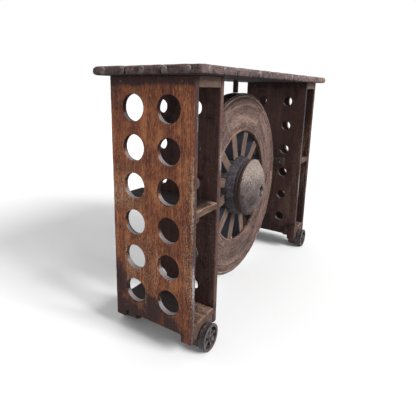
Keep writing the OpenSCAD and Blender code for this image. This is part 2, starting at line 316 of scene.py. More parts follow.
def grain_bent(co, centre, middle, seed):
    """The same for a rim piece, whose grain mostly follows the curve. middle is the angle of its middle."""
    r, angles = around(co, centre)
    straight = (co[:, X] - centre.x) * math.cos(middle) + (co[:, Z] - centre.z) * math.sin(middle)
    across = 0.75 * r + 0.25 * straight
    return np.stack([angle_from(angles, middle) * r.mean(), across, co[:, Y]], axis=1) + own_place(seed)


# ---------------------------------------------------------------- materials

class Graph:
    """A new material and short ways to add nodes to it."""

    def __init__(self, name):
        self.material = bpy.data.materials.new(name)
        self.material.use_nodes = True
        self.tree = self.material.node_tree
        self.tree.nodes.clear()

    def node(self, kind, inputs=(), **settings):
        """inputs gives each input, by name or number, a plain value or another node's output."""
        made = self.tree.nodes.new(kind)
        for name, value in settings.items():
            setattr(made, name, value)
        for key, value in dict(inputs).items():
            if isinstance(value, bpy.types.NodeSocket):
                self.tree.links.new(value, made.inputs[key])
            else:
                made.inputs[key].default_value = value
        return made

    def vertex(self, name, output="Fac"):
        """A layer that paint() has stored."""
        return self.node("ShaderNodeAttribute", attribute_name=name).outputs[output]

    def noise(self, vector, scale, detail, roughness, distortion=0.0):
        values = {
            "Vector": vector, "Scale": scale, "Detail": detail, "Roughness": roughness,
            "Distortion": distortion,
        }
        return self.node("ShaderNodeTexNoise", values).outputs[0]

    def grained(self, vector, along, across, detail, roughness, distortion=0.0):
        """Noise drawn out along the grain: marks per metre along it, and across it."""
        mapping = self.node("ShaderNodeMapping", {"Vector": vector, "Scale": (along, across, across)})
        return self.noise(mapping.outputs[0], 1.0, detail, roughness, distortion)

    def total(self, value, *others):
        for other in others:
            value = self.node("ShaderNodeMath", {0: value, 1: other}, operation="ADD").outputs[0]
        return value

    def times(self, value, factor):
        return self.node("ShaderNodeMath", {0: value, 1: factor}, operation="MULTIPLY").outputs[0]

    def remap(self, value, low, high, to_low=0.0, to_high=1.0):
        """to_low where value is low, to_high where it is high, smooth between."""
        values = {"Value": value, "From Min": low, "From Max": high, "To Min": to_low, "To Max": to_high}
        return self.node("ShaderNodeMapRange", values, interpolation_type="SMOOTHSTEP").outputs[0]

    def blend(self, factor, a, b):
        """a where factor is 0 and b where it is 1."""
        a, b = (c if isinstance(c, bpy.types.NodeSocket) else (*c, 1.0) for c in (a, b))
        return self.node("ShaderNodeMix", {0: factor, 6: a, 7: b}, data_type="RGBA").outputs[2]

    def finish(self, colour, roughness, height, relief, metallic, specular):
        """relief is the height of the bumps in metres."""
        bump = self.node("ShaderNodeBump", {"Height": height, "Strength": 1.0, "Distance": relief})
        shader = self.node("ShaderNodeBsdfPrincipled", {
            "Base Color": colour, "Roughness": roughness, "Metallic": metallic, "Normal": bump.outputs[0],
            "Specular IOR Level": specular,
        })
        self.node("ShaderNodeOutputMaterial", {"Surface": shader.outputs[0]})
        return self.material


WOOD_RELIEF = 0.9 * MM
WOOD_ROUGHNESS = (0.55, 0.85)
IRON_ROUGHNESS = (0.42, 0.85)
IRON_SPECULAR = 0.4
RUST_METALLIC = 0.1


def wood(name, dark, mid, light, worn, soil, dust=None,
         streak=1.0, speckle=1.0, flecks=0.5, mottle=0.3, specular=0.25):
    """Old wood: growth bands, fibres, pores, flecks, soiled patches, pale worn edges and dusty faces.
    The soil, wear and dust layers also carry painted shade and painted light.
    """
    g = Graph(name)
    grain = g.vertex("grain", "Vector")
    wear = g.vertex("wear")
    soiled = g.vertex("soil")
    bands = g.grained(grain, along=1.6, across=30.0, detail=5.0, roughness=0.62, distortion=0.6)
    figure = g.grained(grain, along=5.0, across=15.0, detail=4.0, roughness=0.6, distortion=1.8)
    fibres = g.grained(grain, along=12.0, across=260.0, detail=4.0, roughness=0.7)
    dashes = g.grained(grain, along=65.0, across=380.0, detail=3.0, roughness=0.65)
    pores = g.grained(grain, along=70.0, across=1300.0, detail=2.0, roughness=0.6)
    patches = g.noise(grain, scale=13.0, detail=5.0, roughness=0.68)
    specks = g.noise(grain, scale=150.0, detail=3.0, roughness=0.7)

    # The three tones of clean wood, balanced about the middle of their mixed noise
    tone = g.total(
        g.times(bands, 0.5 * streak), g.times(figure, 0.25), g.times(fibres, 0.35 * streak),
        g.times(patches, mottle),
    )
    middle = 0.125 + 0.5 * mottle + 0.425 * streak
    colour = g.blend(g.remap(tone, middle - 0.17, middle), dark, mid)
    colour = g.blend(g.remap(tone, middle - 0.01, middle + 0.16), colour, light)
    colour = g.blend(g.remap(dashes, 0.54, 0.66, 0.0, flecks), colour, light)
    colour = g.blend(g.remap(dashes, 0.47, 0.36, 0.0, 0.9 * flecks), colour, dark)
    colour = g.blend(g.remap(specks, 0.62, 0.78, 0.0, 0.55 * speckle), colour, light)
    colour = g.blend(g.remap(specks, 0.4, 0.26, 0.0, 0.6 * speckle), colour, soil)

    # Soil and painted shade, and wear and painted light, follow their layers, with borders broken up by the
    # same noises
    soiled_and_shaded = g.total(soiled, g.remap(patches, 0.45, 0.75, -0.22, 0.3), g.remap(bands, 0.3, 0.7, 0.1, -0.1))
    colour = g.blend(g.remap(soiled_and_shaded, 0.25, 0.75, 0.0, 0.92), colour, soil)
    rubbed = g.total(wear, g.remap(specks, 0.3, 0.7, -0.28, 0.28), g.remap(fibres, 0.3, 0.7, -0.2, 0.2))
    colour = g.blend(g.times(g.remap(rubbed, 0.25, 0.8), 0.9), colour, worn)
    # Dust, and on the hole walls painted light, follows its own layer
    if dust:
        dusty = g.total(g.vertex("dust"), g.remap(specks, 0.3, 0.7, -0.15, 0.15))
        colour = g.blend(g.remap(dusty, 0.2, 0.8, 0.0, 0.9), colour, dust)

    height = g.total(
        g.times(fibres, 0.55), g.times(pores, 0.25), g.times(g.remap(specks, 0.3, 0.7), 0.35),
        g.times(bands, 0.5), g.times(dashes, 0.7 * flecks),
    )
    roughness = g.remap(g.total(fibres, g.times(patches, 0.5)), 0.5, 1.0, *WOOD_ROUGHNESS)
    return g.finish(colour, roughness, height, WOOD_RELIEF, metallic=0.0, specular=specular)


def iron(name, dark, light, rust, metallic, rusty, relief):
    """Forged iron: dark scale, rubbed highlights, rust in patches and pits. relief is in mm."""
    g = Graph(name)
    where = g.node("ShaderNodeTexCoord").outputs["Object"]
    wear = g.vertex("wear")
    cloud = g.noise(where, scale=38.0, detail=5.0, roughness=0.65)
    pits = g.noise(where, scale=260.0, detail=3.0, roughness=0.65)
    blotch = g.noise(where, scale=90.0, detail=4.0, roughness=0.7, distortion=0.6)
    colour = g.blend(g.remap(cloud, 0.35, 0.65), dark, light)
    rusted = g.remap(blotch, 0.62 - 0.25 * rusty, 0.78 - 0.2 * rusty)
    colour = g.blend(g.times(rusted, 0.85), colour, rust)
    # The wear layer gives rubbed metal, and on the studs painted highlights
    rubbed = g.remap(g.total(wear, g.remap(pits, 0.3, 0.7, -0.3, 0.3)), 0.3, 0.9)
    colour = g.blend(g.times(rubbed, 0.6), colour, tuple(1.9 * c for c in light))
    metal = g.remap(rusted, 0.0, 1.0, metallic, RUST_METALLIC)
    roughness = g.remap(g.total(blotch, g.times(rusted, 0.4)), 0.4, 1.0, *IRON_ROUGHNESS)
    height = g.total(g.remap(pits, 0.3, 0.7), g.times(cloud, 0.6))
    return g.finish(colour, roughness, height, relief * MM, metal, IRON_SPECULAR)


def floor_material():
    """Plain, pale and matt."""
    g = Graph("studio_floor")
    where = g.node("ShaderNodeTexCoord").outputs["Object"]
    cloud = g.noise(where, scale=0.6, detail=2.0, roughness=0.5)
    colour = g.blend(g.remap(cloud, 0.3, 0.7), (0.566, 0.566, 0.57), (0.575, 0.575, 0.575))
    return g.finish(colour, 0.9, cloud, relief=0.1 * MM, metallic=0.0, specular=0.0)


SIDE_WOOD = wood(
    "side_wood", dark=(0.046, 0.017, 0.013), mid=(0.122, 0.041, 0.022), light=(0.264, 0.104, 0.046),
    worn=(0.285, 0.178, 0.108), soil=(0.022, 0.013, 0.014), dust=(0.26, 0.24, 0.245),
    flecks=0.85, speckle=1.15, mottle=0.6, specular=0.1,
)
INNER_WOOD = wood(
    "inner_wood", dark=(0.024, 0.012, 0.012), mid=(0.049, 0.026, 0.023), light=(0.088, 0.05, 0.04),
    worn=(0.1, 0.066, 0.05), soil=(0.014, 0.009, 0.01), dust=(0.2, 0.18, 0.175), specular=0.08,
)
TOP_WOOD = wood(
    "top_wood", dark=(0.021, 0.015, 0.016), mid=(0.055, 0.037, 0.037), light=(0.16, 0.1, 0.086),
    worn=(0.15, 0.08, 0.06), soil=(0.018, 0.011, 0.013), flecks=0.8, specular=0.12,
)
HEAD_WOOD = wood(
    "head_wood", dark=(0.03, 0.018, 0.014), mid=(0.06, 0.037, 0.029), light=(0.105, 0.067, 0.051),
    worn=(0.14, 0.095, 0.072), soil=(0.02, 0.013, 0.013), specular=0.12,
)
SHELF_WOOD = wood(
    "shelf_wood", dark=(0.021, 0.013, 0.011), mid=(0.053, 0.03, 0.022), light=(0.1, 0.062, 0.046),
    worn=(0.16, 0.108, 0.08), soil=(0.012, 0.01, 0.011), specular=0.03,
)
BEAM_WOOD = wood(
    "beam_wood", dark=(0.014, 0.009, 0.008), mid=(0.036, 0.022, 0.017), light=(0.08, 0.048, 0.034),
    worn=(0.14, 0.085, 0.06), soil=(0.012, 0.009, 0.01),
)
RIM_WOOD = wood(
    "rim_wood", dark=(0.019, 0.011, 0.01), mid=(0.062, 0.038, 0.032), light=(0.14, 0.091, 0.075),
    worn=(0.135, 0.075, 0.046), soil=(0.035, 0.015, 0.011), dust=(0.21, 0.155, 0.13),
    streak=1.5, flecks=1.0, specular=0.12,
)
SPOKE_WOOD = wood(
    "spoke_wood", dark=(0.03, 0.019, 0.015), mid=(0.076, 0.047, 0.036), light=(0.135, 0.088, 0.066),
    worn=(0.155, 0.098, 0.07), soil=(0.021, 0.026, 0.038), specular=0.15,
)
HUB_WOOD = wood(
    "hub_wood", dark=(0.012, 0.011, 0.014), mid=(0.032, 0.028, 0.033), light=(0.095, 0.086, 0.092),
    worn=(0.056, 0.034, 0.03), soil=(0.011, 0.01, 0.013), streak=0.9, flecks=1.0, specular=0.12,
)
CAP_WOOD = wood(
    "cap_wood", dark=(0.025, 0.018, 0.019), mid=(0.053, 0.041, 0.039), light=(0.125, 0.098, 0.088),
    worn=(0.19, 0.155, 0.13), soil=(0.022, 0.015, 0.017), streak=0.9, speckle=0.7, specular=0.12,
)
HANGER_WOOD = wood(
    "hanger_wood", dark=(0.018, 0.009, 0.008), mid=(0.04, 0.018, 0.015), light=(0.075, 0.036, 0.028),
    worn=(0.12, 0.07, 0.05), soil=(0.014, 0.009, 0.01), specular=0.15,
)
STUD_IRON = iron(
    "stud_iron", dark=(0.016, 0.011, 0.011), light=(0.11, 0.092, 0.085), rust=(0.04, 0.022, 0.018),
    metallic=0.3, rusty=0.3, relief=0.5,
)
TYRE_IRON = iron(
    "tyre_iron", dark=(0.022, 0.02, 0.022), light=(0.055, 0.047, 0.046), rust=(0.1, 0.046, 0.026),
    metallic=0.45, rusty=0.55, relief=0.8,
)
ROLLER_IRON = iron(
    "roller_iron", dark=(0.011, 0.012, 0.015), light=(0.04, 0.042, 0.047), rust=(0.11, 0.055, 0.034),
    metallic=0.3, rusty=0.6, relief=1.0,
)
SMALL_IRON = iron(
    "small_iron", dark=(0.022, 0.02, 0.021), light=(0.075, 0.067, 0.062), rust=(0.1, 0.05, 0.03),
    metallic=0.5, rusty=0.45, relief=0.4,
)


# ---------------------------------------------------------------- top

def make_top():
    """Three boards with a rounded, dented edge, rougher and paler towards the right cabinet."""
    boards = ("top_board_front", "top_board_middle", "top_board_back")
    lo, hi = corners([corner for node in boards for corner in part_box(node)])
    for seed, node in enumerate(boards, 1):
        mesh = skin(node, 3.6 * MM)
        rest = coordinates(mesh)
        out_y = np.minimum(rest[:, Y] - lo.y, hi.y - rest[:, Y])
        out_x = np.minimum(rest[:, X] - lo.x, hi.x - rest[:, X])
        rim = 1 - ramp(np.minimum(out_x, out_y), 4 * MM, 30 * MM)
        edge = weather(mesh, 40 + seed, steps=6, chips=1.6, dents=0.8)
        lumps = ramp(noise(rest * (26, 26, 60), 70 + seed, 2), -0.2, 0.9)
        pits = ramp(noise(rest * 95, 80 + seed, 2), 0.25, 0.8)
        far = ramp(rest[:, X], 0, 0.6)
        carve(mesh, rim * (2.2 * lumps + (0.8 + 1.4 * far) * pits) * MM)
        rubbed = 0.55 + 0.7 * noise(rest * (14, 14, 90), 60 + seed, 3)
        facing = normals(mesh)[:, Z]
        on_rim = (0.36 - 0.5 * far + 0.4 * lumps) * rim * (1 - ramp(facing, 0.3, 0.8))
        paint(
            mesh, grain=grain_along(rest, X, seed),
            wear=(0.2 + 0.3 * far) * edge + (0.1 + 0.55 * far) * rim * rubbed,
            # The underside, facing down, gets painted shade
            soil=on_rim + ramp(-facing, 0.5, 0.9),
        )
        piece(node, "worn", mesh, TOP_WOOD)


STUD_R = 12 * MM
STUD_H = 5 * MM
STUD_SUNK = 1.2 * MM
STUD_RINGS = 10
STUD_SIDES = 28


def domed_stud(foot, out, seed):
    """A beaten, domed head that stands out along out. Its foot is sunk a little into its seat."""
    bm = bmesh.new()

    def circle(r, height):
        angles = (2 * math.pi * k / STUD_SIDES for k in range(STUD_SIDES))
        return [bm.verts.new((r * math.cos(a), r * math.sin(a), height)) for a in angles]

    rings = [[bm.verts.new((0, 0, STUD_H))]]
    for ring in range(1, STUD_RINGS + 1):
        slope = ring / STUD_RINGS * math.pi / 2
        rings.append(circle(STUD_R * math.sin(slope), STUD_H * math.cos(slope) ** 0.85))
    rings.append(circle(STUD_R * 0.97, -STUD_SUNK))
    for k in range(STUD_SIDES):
        bm.faces.new((rings[0][0], rings[1][k], rings[1][(k + 1) % STUD_SIDES]))
    for inner, outer in zip(rings[1:], rings[2:]):
        for k in range(STUD_SIDES):
            m = (k + 1) % STUD_SIDES
            bm.faces.new((inner[k], outer[k], outer[m], inner[m]))
    bm.faces.new(list(reversed(rings[-1])))
    mesh = bpy.data.meshes.new("stud")
    bm.to_mesh(mesh)
    bm.free()
    co = coordinates(mesh)
    beaten = 0.7 * MM * ramp(noise(co * 160 + seed * 3.1, seed), -0.1, 0.8)
    co[:, Z] -= beaten * ramp(co[:, Z], 0, STUD_H)
    co[:, :2] *= 1 - 0.05 * (0.5 + 0.5 * noise(co * 90 + seed * 5.7, seed + 1))[:, None]
    turn = out.to_track_quat("Z", "Y").to_matrix()
    place(mesh, co @ np.array(turn).T + np.array(foot))
    # Painted highlights, with some rubbing: pale on the upward faces of the dome and round its flange
    rubbed = ramp(normals(mesh)[:, Z], 0.1, 0.55)
    flange = 1 - ramp(co[:, Z], 0.1 * STUD_H, 0.35 * STUD_H)
    paint(mesh, wear=0.8 * rubbed + 0.35 * flange)
    return mesh


def islands(node):
    """Lowest and highest corners of each separate solid in a CAD node."""
    mesh = solid_copy(node)
    bm = bmesh.new()
    bm.from_mesh(mesh)
    bpy.data.meshes.remove(mesh)
    seen = set()
    found = []
    for start in bm.verts:
        if start in seen:
            continue
        seen.add(start)
        island, waiting = [], [start]
        while waiting:
            v = waiting.pop()
            island.append(v.co.copy())
            for w in (e.other_vert(v) for e in v.link_edges):
                if w not in seen:
                    seen.add(w)
                    waiting.append(w)
        found.append(corners(island))
    bm.free()
    return found


def stud_places():
    """Tip of each stud and the way it stands out: its tip lies on one side of the box round them all."""
    lo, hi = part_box("edge_studs")
    places = []
    for low, high in islands("edge_studs"):
        for axis, limit, sign in ((X, lo.x, -1), (X, hi.x, 1), (Y, lo.y, -1), (Y, hi.y, 1)):
            end = low if sign < 0 else high
            if abs(end[axis] - limit) < 0.2 * MM:
                tip = (low + high) / 2
                tip[axis] = limit
                out = Vector((0, 0, 0))
                out[axis] = sign
                places.append((tip, out))
    return places


def make_studs():
    studs = [domed_stud(tip - out * STUD_H, out, seed) for seed, (tip, out) in enumerate(stud_places())]
    piece("edge_studs", "forged", joined(studs), STUD_IRON)


# ---------------------------------------------------------------- cabinets

# How far the cabinets' front and back lie from the middle, and how high their panels reach
CABINET_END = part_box("left_outer_panel")[1].y
PANEL_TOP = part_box("left_outer_panel")[1].z


def panel_paint(co, n, edge, inwards, seed):
    """Wear, soil, dust, painted light and shade on a cabinet panel. inwards is +1 or -1: the way its
    inner face looks along X. Hole walls get painted light and dust where they face up, and painted shade
    where they face down, and hole rims are dark. The front and back edges are dark with a pale bloom. The
    outer face is faded in the middle and towards the front, has a painted shadow of the table top along its
    top, and is dark at the foot and in the low back corner. The inner face has painted shade all over."""
    inset = CABINET_END - np.abs(co[:, Y])
    from_front = co[:, Y] + CABINET_END
    from_back = CABINET_END - co[:, Y]
    height = co[:, Z]
    under_top = PANEL_TOP - height
    streaks = noise(co * (60, 45, 7), seed, 2)

    hole_wall = ramp(1 - np.abs(n[:, X]), 0.4, 0.9) * ramp(inset, 2 * MM, 10 * MM) * ramp(height, 0.1, 0.12)
    hole_rim = edge * ramp(inset, 15 * MM, 30 * MM) * ramp(height, 0.12, 0.14)
    near_end = 1 - ramp(inset, 5 * MM, 15 * MM)
    end_face = ramp(np.abs(n[:, Y]), 0.2, 0.6) * near_end
    end_rim = edge * near_end

    middle = ramp(noise(co * (9, 17, 3.2), seed + 2, 3), -0.1, 0.8)
    middle = middle * (1 - ramp(np.abs(height - 0.42), 0.1, 0.45))
    front = (1 - ramp(from_front, 20 * MM, 70 * MM)) * (1 - ramp(np.abs(height - 0.48), 0.2, 0.4))
    faded = (0.5 * middle + 0.4 * front * (0.6 + 0.6 * streaks)) * (1 - end_face)
    rubbed = 0.6 * edge * (1 - 0.7 * hole_wall) * (1 - hole_rim) * (1 - end_rim * (0.8 - 0.5 * streaks))

    # Painted shade on the faces that look into the cabinet
    inside_shade = ramp(n[:, X] * inwards, 0.4, 0.9)
    # Painted shadow of the table top along the top of the panel
    under_top_shadow = 0.42 * (1 - ramp(under_top, 28 * MM, 118 * MM)) + 0.5 * (1 - ramp(under_top, 18 * MM, 43 * MM))
    back = 1 - ramp(from_back, -5 * MM, 60 * MM)
    from_low_back = np.hypot((from_back + 20 * MM) * 0.8, (height - 40 * MM) * 0.75)
    low_back = 1 - ramp(from_low_back, 0.1, 0.3)
    foot = 1 - ramp(height + 0.3 * co[:, Y], 0.06, 0.24)
    patchy = 0.75 + 0.5 * noise(co * 11, seed + 3, 3)
    soil = (0.4 * back + 0.9 * low_back + 0.7 * foot) * patchy + under_top_shadow + inside_shade
    soil = soil + end_face * (0.95 + 0.3 * streaks) + 0.6 * end_rim
    # Painted shade on the hole walls that face down; the hole rims are dark
    soil = soil + 0.9 * hole_wall * ramp(-n[:, Z], -0.55, 0.2) + 0.9 * hole_rim

    bloom = end_face * (1 - end_rim) * (0.15 + 0.42 * streaks)
    # Painted light, with dust, on the hole walls that face up, and a pale bloom on the end faces
    dust = hole_wall * ramp(n[:, Z], 0.0, 0.75) * (1 - hole_rim) + bloom
    return rubbed + faded, np.clip(soil, 0, 1), dust


def make_panels():
    """Outer panels in warm, faded wood, and inner ones in darker wood, with extra painted shade on the
    right cabinet's inner panel.
    """
    for seed, side in enumerate(SIDES, 3):
        for where in ("outer", "inner"):
            node = f"{side}_{where}_panel"
            outer = where == "outer"
            mesh = skin(node, 2.8 * MM)
            rest = coordinates(mesh)
            n = normals(mesh)
            edge = weather(mesh, seed * 7 + outer, steps=4, chips=0.5, dents=0.4, keep=0.8)
            inwards = -1 if rest[:, X].mean() > 0 else 1
            wear, soil, dust = panel_paint(rest, n, edge, inwards if outer else -inwards, seed)
            if not outer:
                # Inner panels take half the soil and shade; the right one also gets painted shade, as it
                # stands under the table top
                soil = 0.5 * soil + (0.35 if side == "right" else 0)
            paint(mesh, grain=grain_along(rest, Z, seed + 4 * outer), wear=wear, soil=soil, dust=dust)
            if outer:
                piece(node, "worn", mesh, SIDE_WOOD)
            else:
                piece(node, "worn", mesh, INNER_WOOD)


def make_shelves():
    """Boards with worn edges, painted light on top near the front, and painted shade further back."""
    kinds = (("head_board", HEAD_WOOD, "head_wood"), ("middle_shelf", SHELF_WOOD, "shelf_wood"),
             ("bottom_shelf", SHELF_WOOD, "shelf_wood"))
    for seed, (side, (kind, material, slot)) in enumerate(product(SIDES, kinds), 11):
        node = f"{side}_{kind}"
        lowest = kind == "bottom_shelf"
        mesh = skin(node, 3 * MM)
        rest = coordinates(mesh)
        rounding = 14 if kind == "middle_shelf" else 6
        edge = weather(mesh, seed * 3, steps=rounding, chips=2.0, dents=1.2)
        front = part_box(node)[0].y
        # Painted light on the top near the front, where the light reaches in, and painted shade further
        # back
        lit_front = 1 - ramp(rest[:, Y], front, front + (0.14 if lowest else 0.05))
        streaks = noise(rest * (30, 6, 30), seed, 2)
        above = ramp(normals(mesh)[:, Z], 0.3, 0.8)
        paint(
            mesh, grain=grain_along(rest, Y if lowest else X, seed),
            wear=0.6 * edge + lit_front * above * (0.5 + 0.6 * streaks),
            soil=1.1 * (1 - lit_front) - 0.1,
        )
        piece(node, "worn", mesh, material)


def make_beams():
    for seed, (side, end) in enumerate(product(SIDES, ENDS), 31):
        node = f"{side}_{end}_beam"
        mesh = skin(node, 2.6 * MM)
        rest = coordinates(mesh)
        edge = weather(mesh, seed, steps=8, chips=2.0, dents=1.2)
        paint(mesh, grain=grain_along(rest, X, seed), wear=0.7 * edge, soil=np.full(len(rest), 0.25))
        piece(node, "worn", mesh, BEAM_WOOD)


def make_hanger():
    node, seed = "wheel_hanger", 52
    mesh = skin(node, 1.2 * MM)
    rest = coordinates(mesh)
    edge = weather(mesh, seed, steps=6, chips=1.0, dents=0.6)
    paint(mesh, grain=grain_along(rest, Z, seed), wear=0.7 * edge, soil=np.zeros(len(rest)))
    piece(node, "worn", mesh, HANGER_WOOD)


# ---------------------------------------------------------------- cart wheel

FELLOES = 6
SPOKES = 12

# Front of the rim in mm. Round the opening: distance out from its edge, and depth behind the front
RIM_BEAD = ((0, 4), (1, 1.6), (3, 0.3), (7, 0), (10, 0.8), (12, 4.6), (14, 4.6), (17, 1.2))
# Two grooves and a rounded outer edge: distance in from the outer edge, and depth behind the front
RIM_GROOVES = ((38, 1.2), (36, 5.5), (30, 5.5), (28, 2.4), (26, 1.4), (19, 1.4), (17.5, 4.4), (13, 4.4),
               (11.5, 1.6), (5, 1.8), (1, 4), (0, 7))


def rim_profile(centre):
    """Radius against depth, all round one rim piece. Behind the front flange the opening widens."""
    r_in, r_out = radii("felloe_1", centre)
    front, back = depths("felloe_1", centre)
    own = cad_points("felloe_1")
    own_r, _ = around(own, centre)
    own_y = own[:, Y] - centre.y
    r_back = own_r[own_y > 0].min()
    flange = own_y[own_r < r_in + 1 * MM].max()
    return [
        *((r_in + out * MM, front + depth * MM) for out, depth in RIM_BEAD),
        *((r_out - inset * MM, front + depth * MM) for inset, depth in RIM_GROOVES),
        (r_out, back - 4 * MM), (r_out - 4 * MM, back),
        (r_back + 3 * MM, back), (r_back, back - 3 * MM),
        (r_back, flange), (r_in + 1 * MM, flange), (r_in, flange - 1 * MM),
    ]


def ring(r, r_out, start, full, fade, end):
    """1 on a ring of the rim and 0 off it. The four limits are in mm, inwards from the outer edge."""
    start, full, fade, end = (r_out - inset * MM for inset in (start, full, fade, end))
    return ramp(r, start, full) * (1 - ramp(r, fade, end))


def make_felloes(centre):
    """Rim pieces with a worn bead, soiled grooves and a dusty outer ring."""
    r_in, r_out = radii("felloe_1", centre)
    profile = resampled(rim_profile(centre), 4 * MM)
    span = 2 * math.pi / FELLOES
    for k in range(FELLOES):
        node = f"felloe_{k + 1}"
        middle = round(angle_of(node, centre) / (span / 2)) * span / 2
        mesh = turned(profile, centre, steps=110, start=middle - span / 2, span=span)
        rest = coordinates(mesh)
        r, angles = around(rest, centre)
        edge = weather(mesh, 60 + k, steps=3, chips=0.6, dents=0.8, keep=0.5)
        to_joint = (span / 2 - np.abs(angle_from(angles, middle))) * r
        joint = 1 - ramp(to_joint, 0.5 * MM, 3 * MM)
        fibres = noise(grain_bent(rest, centre, middle, k) * (7, 110, 60), k, 2)
        carve(mesh, (0.2 * joint + 0.9 * ramp(fibres, 0, 0.9)) * MM)
        on_front = ramp(-normals(mesh)[:, Y], 0.2, 0.7)
        bead = 1 - ramp(r, r_in + 11 * MM, r_in + 14 * MM)
        grooves = ring(r, r_out, 40, 38, 29, 27) + ring(r, r_out, 20, 18, 12, 10)
        raised = ring(r, r_out, 32, 28, 8, 5)
        outermost = ring(r, r_out, 9, 6, 3, 0)
        streaks = noise(rest * 16, 90 + k, 3)
        rubbed = bead * (0.3 + 0.7 * streaks) + 0.4 * edge * ramp(streaks, -0.2, 0.5)
        paint(
            mesh, grain=grain_bent(rest, centre, middle, k + 2),
            wear=rubbed + 0.3 * raised * on_front * streaks,
            soil=(0.75 * grooves + 0.25 * raised) * (0.8 + 0.5 * streaks) + 0.1 * joint * on_front,
            dust=outermost * on_front * (0.6 + 0.6 * streaks),
        )
        piece(node, "worn", mesh, RIM_WOOD)


def make_spokes(centre):
    """Spokes of bare wood on the front, with slate-blue paint left on the sides and the back."""
    for k in range(SPOKES):
        node = f"spoke_{k + 1}"
        mesh = skin(node, 2.4 * MM)
        rest = coordinates(mesh)
        n = normals(mesh)
        edge = weather(mesh, 100 + k, steps=10, chips=1.8, dents=1.2, keep=0.2, reach=2.0)
        painted = 1 - ramp(-n[:, Y], 0.1, 0.6)
        paint(
            mesh, grain=grain_at_angle(rest, centre, angle_of(node, centre), k + 9),
            wear=0.75 * edge, soil=painted + 0.15 * noise(rest * 14, k, 2),
        )
        piece(node, "worn", mesh, SPOKE_WOOD)


def make_tyre(centre):
    """The iron hoop, just clear of the rim inside it, with its edges cut back by a chamfer."""
    inner = radii("felloe_1", centre)[1]
    outer = radii("iron_tyre", centre)[1]
    front, back = depths("iron_tyre", centre)
    gap, chamfer = 0.3 * MM, 2 * MM
    profile = resampled([
        (inner + gap, front + chamfer), (inner + chamfer, front), (outer - chamfer, front),
        (outer, front + chamfer), (outer, back - chamfer), (outer - chamfer, back),
        (inner + chamfer, back), (inner + gap, back - chamfer),
    ], 4 * MM)
    mesh = turned(profile, centre, steps=540)
    paint(mesh, wear=weather(mesh, 130, steps=2, chips=0.5, dents=0.9, keep=0.5))
    piece("iron_tyre", "forged", mesh, TYRE_IRON)


# Mouth of the hub in mm: distance in from the lip's radius, and depth behind the front
HUB_MOUTH = ((3, 0), (0, 3), (0, 9), (2, 12), (4, 16), (1.5, 19), (1.5, 26), (3.5, 29), (3.5, 32), (0, 36))
# Step between barrel and back dome in mm: distance in from the barrel's radius, and ahead of the dome
HUB_STEP = ((0, 34), (5, 30), (5, 10), (4, 8))


def make_hub_barrel(centre):
    """The turned barrel: a ringed mouth in front of the spokes and a low dome at the back."""
    front, back = depths("hub_barrel", centre)
    barrel = radii("hub_band", centre)[1]
    lip = radii("hub_front_cap", centre)[1]
    spokes_front = depths("spoke_1", centre)[0]
    dome_h, dome_r = 28 * MM, barrel - 10 * MM
    dome_front = back - dome_h
    slopes = np.linspace(0, math.pi / 2, 24)
    dome = [(dome_r * math.cos(slope), back - dome_h * (1 - math.sin(slope))) for slope in slopes]
    profile = [
        (0.0, front),
        *((lip - inset * MM, front + depth * MM) for inset, depth in HUB_MOUTH),
        (barrel, spokes_front - 8 * MM),
        *((barrel - inset * MM, dome_front - ahead * MM) for inset, ahead in HUB_STEP),
        *dome[:-1], (0.0, back),
    ]
    mesh = turned(resampled(profile, 4 * MM), centre, steps=230)
    rest = coordinates(mesh)
    edge = weather(mesh, 140, steps=4, chips=1.0, dents=0.6)
    streaks = noise(rest * (30, 9, 30), 141, 2)
    mouth = 1 - ramp(rest[:, Y] - centre.y, front + 20 * MM, front + 34 * MM)
    paint(
        mesh, grain=grain_along(rest, Y, 3),
        wear=mouth * (0.75 + 0.4 * streaks) + 0.3 * edge, soil=0.3 * streaks,
    )
    piece("hub_barrel", "turned", mesh, HUB_WOOD)


def make_hub_band(centre):
    """The iron band round the barrel behind the spokes, sunk into the wood."""
    r = radii("hub_band", centre)[1]
    front, back = depths("hub_band", centre)
    sunk, chamfer = 7 * MM, 1 * MM
    profile = resampled([
        (r - sunk, front), (r - chamfer, front), (r, front + chamfer),
        (r, back - chamfer), (r - chamfer, back), (r - sunk, back),
    ], 3 * MM)
    mesh = turned(profile, centre, steps=220)
    paint(mesh, wear=weather(mesh, 150, steps=2, chips=0.3, dents=0.5))
    piece("hub_band", "forged", mesh, TYRE_IRON)


CAP = "hub_front_cap"
CAP_RIDGES = 7.5 * MM
PIN_R = 13 * MM
PIN_DEPTH = 16 * MM
CRACK_W = 3.2 * MM
# Angle round the pin hole, in radians, and length, in mm, of each crack
CAP_CRACKS = ((1.25, 48), (1.75, 30), (-0.3, 34), (-1.9, 40), (2.9, 26), (0.4, 22))


def cap_profile(tip, foot, reach):
    """A shallow dome with faint turned ridges, and the pin hole in its middle."""
    height = foot - tip
    sphere = (reach**2 + height**2) / (2 * height)
    dome = []
    for t in np.linspace(PIN_R / reach, 1, 60):
        r = reach * t
        y = tip + sphere - math.sqrt(sphere**2 - r**2)
        wave = 0.5 + 0.5 * math.cos(r / CAP_RIDGES * 2 * math.pi)
        ridge = 0.55 * MM * wave * ramp(t, 0.2, 0.5)
        dome.append((r - ridge * r / sphere, y + ridge))
    return dome + [
        (reach - 1 * MM, foot - 0.2 * MM), (0.0, foot - 0.2 * MM), (0.0, tip + PIN_DEPTH),
        (PIN_R - 2 * MM, tip + PIN_DEPTH), (PIN_R - 0.5 * MM, tip + 3 * MM),
    ]


def cap_cracks(r, angles):
    """1 along the cracks, which run out from the pin hole and close towards the rim."""
    cracks = np.zeros(len(r))
    for k, (angle, length) in enumerate(CAP_CRACKS):
        bend = angle + 0.25 * noise(np.stack([r * 60, r * 0 + k, r * 0], axis=1), 7)
        off = np.abs(angle_from(angles, bend)) * r
        width = CRACK_W * np.clip(1 - (r - PIN_R) / (length * MM), 0, 1)
        cracks = np.maximum(cracks, (1 - ramp(off, 0.4 * width, width + 1e-6)) * (width > 0))
    return cracks


